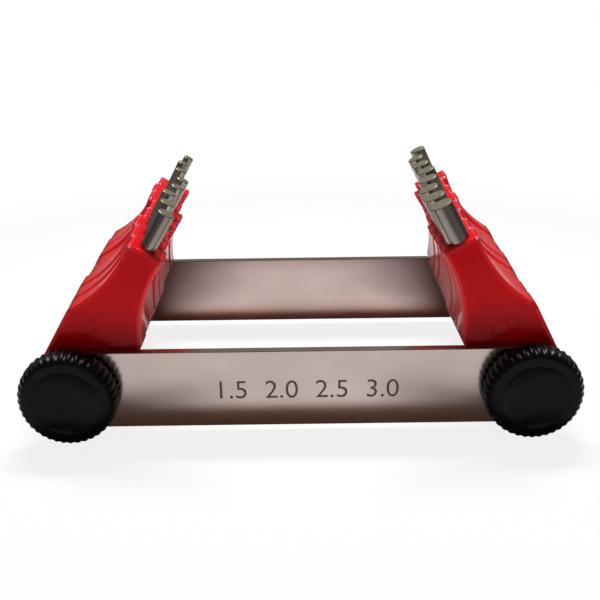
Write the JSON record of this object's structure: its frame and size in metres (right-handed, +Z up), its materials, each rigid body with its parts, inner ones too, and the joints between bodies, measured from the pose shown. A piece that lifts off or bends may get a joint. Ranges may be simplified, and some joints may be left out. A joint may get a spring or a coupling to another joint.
{
  "type": "carburetor jet gauge",
  "caption": "Folding jet gauge: stepped steel pins in red swing-out holders, stacked on pivot bolts between two flat steel rails and clamped by knurled black thumb nuts.",
  "frame": {"origin": "bottom centre of the whole gauge: midway between the bolts, midway along the depth, at the lowest rim of the thumb nuts", "axes": "+X along the rails to the stack of larger pins, +Y from the thumb nuts to the bolt heads, +Z up"},
  "size_m": [0.0728, 0.0421, 0.031],
  "materials": {
    "rail": "satin rolled sheet",
    "fastener": "bright turned",
    "insert": "turned",
    "thumb_nut": "satin moulded",
    "holder": "glossy moulded",
    "pin": "ground"
  },
  "bodies": {
    "frame": {"front_rail": "rail", "rear_rail": "rail", "left_bolt": "fastener", "right_bolt": "fastener"},
    "left_washer": {"left_washer": "fastener"},
    "left_knob": {"left_knob": "thumb_nut", "left_insert": "insert"},
    "left_blade_1": {"left_holder_1": "holder", "left_pin_1": "pin"},
    "left_blade_2": {"left_holder_2": "holder", "left_pin_2": "pin"},
    "left_blade_3": {"left_holder_3": "holder", "left_pin_3": "pin"},
    "left_blade_4": {"left_holder_4": "holder", "left_pin_4": "pin"},
    "left_blade_5": {"left_holder_5": "holder", "left_pin_5": "pin"},
    "left_blade_6": {"left_holder_6": "holder", "left_pin_6": "pin"},
    "left_blade_7": {"left_holder_7": "holder", "left_pin_7": "pin"},
    "left_blade_8": {"left_holder_8": "holder", "left_pin_8": "pin"},
    "right_washer": {"right_washer": "fastener"},
    "right_knob": {"right_knob": "thumb_nut", "right_insert": "insert"},
    "right_blade_1": {"right_holder_1": "holder", "right_pin_1": "pin"},
    "right_blade_2": {"right_holder_2": "holder", "right_pin_2": "pin"},
    "right_blade_3": {"right_holder_3": "holder", "right_pin_3": "pin"},
    "right_blade_4": {"right_holder_4": "holder", "right_pin_4": "pin"},
    "right_blade_5": {"right_holder_5": "holder", "right_pin_5": "pin"},
    "right_blade_6": {"right_holder_6": "holder", "right_pin_6": "pin"},
    "right_blade_7": {"right_holder_7": "holder", "right_pin_7": "pin"},
    "right_blade_8": {"right_holder_8": "holder", "right_pin_8": "pin"}
  },
  "joints": [
    {"name": "left_knob_travel", "type": "slide", "parent": "frame", "child": "left_washer", "axis": [0, -1, 0], "range_m": [0, 0.0008]},
    {"name": "left_knob_turn", "type": "hinge", "parent": "left_washer", "child": "left_knob", "pos_m": [-0.03, -0.01805, 0.0064], "axis": [0, -1, 0], "range_deg": [0, 360]},
    {"name": "left_blade_1_fold", "type": "hinge", "parent": "frame", "child": "left_blade_1", "pos_m": [-0.03, -0.01427, 0.0064], "axis": [0, 1, 0], "range_deg": [-120.7, 59.3]},
    {"name": "left_blade_2_fold", "type": "hinge", "parent": "frame", "child": "left_blade_2", "pos_m": [-0.03, -0.01002, 0.0064], "axis": [0, 1, 0], "range_deg": [-119.8, 60.2]},
    {"name": "left_blade_3_fold", "type": "hinge", "parent": "frame", "child": "left_blade_3", "pos_m": [-0.03, -0.00577, 0.0064], "axis": [0, 1, 0], "range_deg": [-118.9, 61.1]},
    {"name": "left_blade_4_fold", "type": "hinge", "parent": "frame", "child": "left_blade_4", "pos_m": [-0.03, -0.00153, 0.0064], "axis": [0, 1, 0], "range_deg": [-120.3, 59.7]},
    {"name": "left_blade_5_fold", "type": "hinge", "parent": "frame", "child": "left_blade_5", "pos_m": [-0.03, 0.00272, 0.0064], "axis": [0, 1, 0], "range_deg": [-120.7, 59.3]},
    {"name": "left_blade_6_fold", "type": "hinge", "parent": "frame", "child": "left_blade_6", "pos_m": [-0.03, 0.00698, 0.0064], "axis": [0, 1, 0], "range_deg": [-118.8, 61.2]},
    {"name": "left_blade_7_fold", "type": "hinge", "parent": "frame", "child": "left_blade_7", "pos_m": [-0.03, 0.01123, 0.0064], "axis": [0, 1, 0], "range_deg": [-118.4, 61.6]},
    {"name": "left_blade_8_fold", "type": "hinge", "parent": "frame", "child": "left_blade_8", "pos_m": [-0.03, 0.01547, 0.0064], "axis": [0, 1, 0], "range_deg": [-119.2, 60.8]},
    {"name": "right_knob_travel", "type": "slide", "parent": "frame", "child": "right_washer", "axis": [0, -1, 0], "range_m": [0, 0.0008]},
    {"name": "right_knob_turn", "type": "hinge", "parent": "right_washer", "child": "right_knob", "pos_m": [0.03, -0.01805, 0.0064], "axis": [0, -1, 0], "range_deg": [0, 360]},
    {"name": "right_blade_1_fold", "type": "hinge", "parent": "frame", "child": "right_blade_1", "pos_m": [0.03, -0.01427, 0.0064], "axis": [0, -1, 0], "range_deg": [-117.6, 62.4]},
    {"name": "right_blade_2_fold", "type": "hinge", "parent": "frame", "child": "right_blade_2", "pos_m": [0.03, -0.01002, 0.0064], "axis": [0, -1, 0], "range_deg": [-118, 62]},
    {"name": "right_blade_3_fold", "type": "hinge", "parent": "frame", "child": "right_blade_3", "pos_m": [0.03, -0.00577, 0.0064], "axis": [0, -1, 0], "range_deg": [-118.4, 61.6]},
    {"name": "right_blade_4_fold", "type": "hinge", "parent": "frame", "child": "right_blade_4", "pos_m": [0.03, -0.00153, 0.0064], "axis": [0, -1, 0], "range_deg": [-117.2, 62.8]},
    {"name": "right_blade_5_fold", "type": "hinge", "parent": "frame", "child": "right_blade_5", "pos_m": [0.03, 0.00272, 0.0064], "axis": [0, -1, 0], "range_deg": [-116.4, 63.6]},
    {"name": "right_blade_6_fold", "type": "hinge", "parent": "frame", "child": "right_blade_6", "pos_m": [0.03, 0.00698, 0.0064], "axis": [0, -1, 0], "range_deg": [-116.8, 63.2]},
    {"name": "right_blade_7_fold", "type": "hinge", "parent": "frame", "child": "right_blade_7", "pos_m": [0.03, 0.01123, 0.0064], "axis": [0, -1, 0], "range_deg": [-117.2, 62.8]},
    {"name": "right_blade_8_fold", "type": "hinge", "parent": "frame", "child": "right_blade_8", "pos_m": [0.03, 0.01547, 0.0064], "axis": [0, -1, 0], "range_deg": [-115.3, 64.7]}
  ],
  "couplings": [
    {"joint": "left_knob_turn", "follows": "left_knob_travel", "rad_per_m": 7853.9},
    {"joint": "right_knob_turn", "follows": "right_knob_travel", "rad_per_m": 7853.9}
  ]
}
